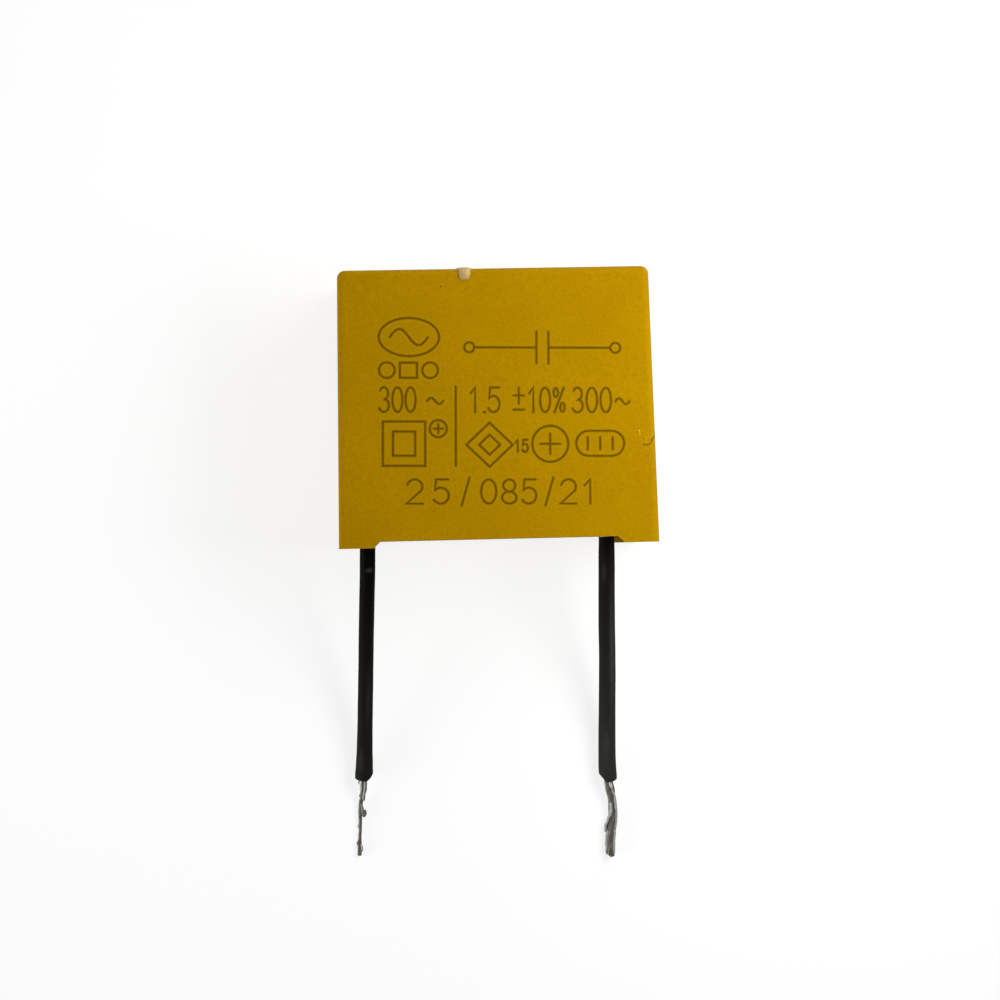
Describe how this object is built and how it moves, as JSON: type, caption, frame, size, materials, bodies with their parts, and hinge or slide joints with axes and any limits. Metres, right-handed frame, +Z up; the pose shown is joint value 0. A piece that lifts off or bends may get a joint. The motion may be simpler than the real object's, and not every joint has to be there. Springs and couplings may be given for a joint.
{
  "type": "film capacitor",
  "caption": "Box film capacitor: a moulded case filled with resin round a flat film winding, with flexible insulated leads whose bare ends are tinned.",
  "frame": {"origin": "middle of the back face, on the surface that the capacitor lies on", "axes": "+X along the width of the printed face, +Y from the feet to the closed top, +Z up, out of the printed face"},
  "size_m": [0.032, 0.0616, 0.018],
  "materials": {
    "case_plastic": "moulded, satin",
    "resin": "cast, smooth",
    "film": "wound metallised film",
    "sprayed_metal": "rough sprayed zinc",
    "solder": "dull solder",
    "tinned_wire": "tinned strands, uneven",
    "insulation": "satin sleeve",
    "glue": "set glue, slightly clear"
  },
  "bodies": {
    "root": {"case": "case_plastic", "potting_resin": "resin", "film_winding": "film", "end_spray_left": "sprayed_metal", "end_spray_right": "sprayed_metal", "solder_joint_left": "solder", "solder_joint_right": "solder", "lead_conductor_left": "tinned_wire", "lead_conductor_right": "tinned_wire", "lead_insulation_left": "insulation", "lead_insulation_right": "insulation", "glue_bead": "glue"}
  },
  "joints": []
}
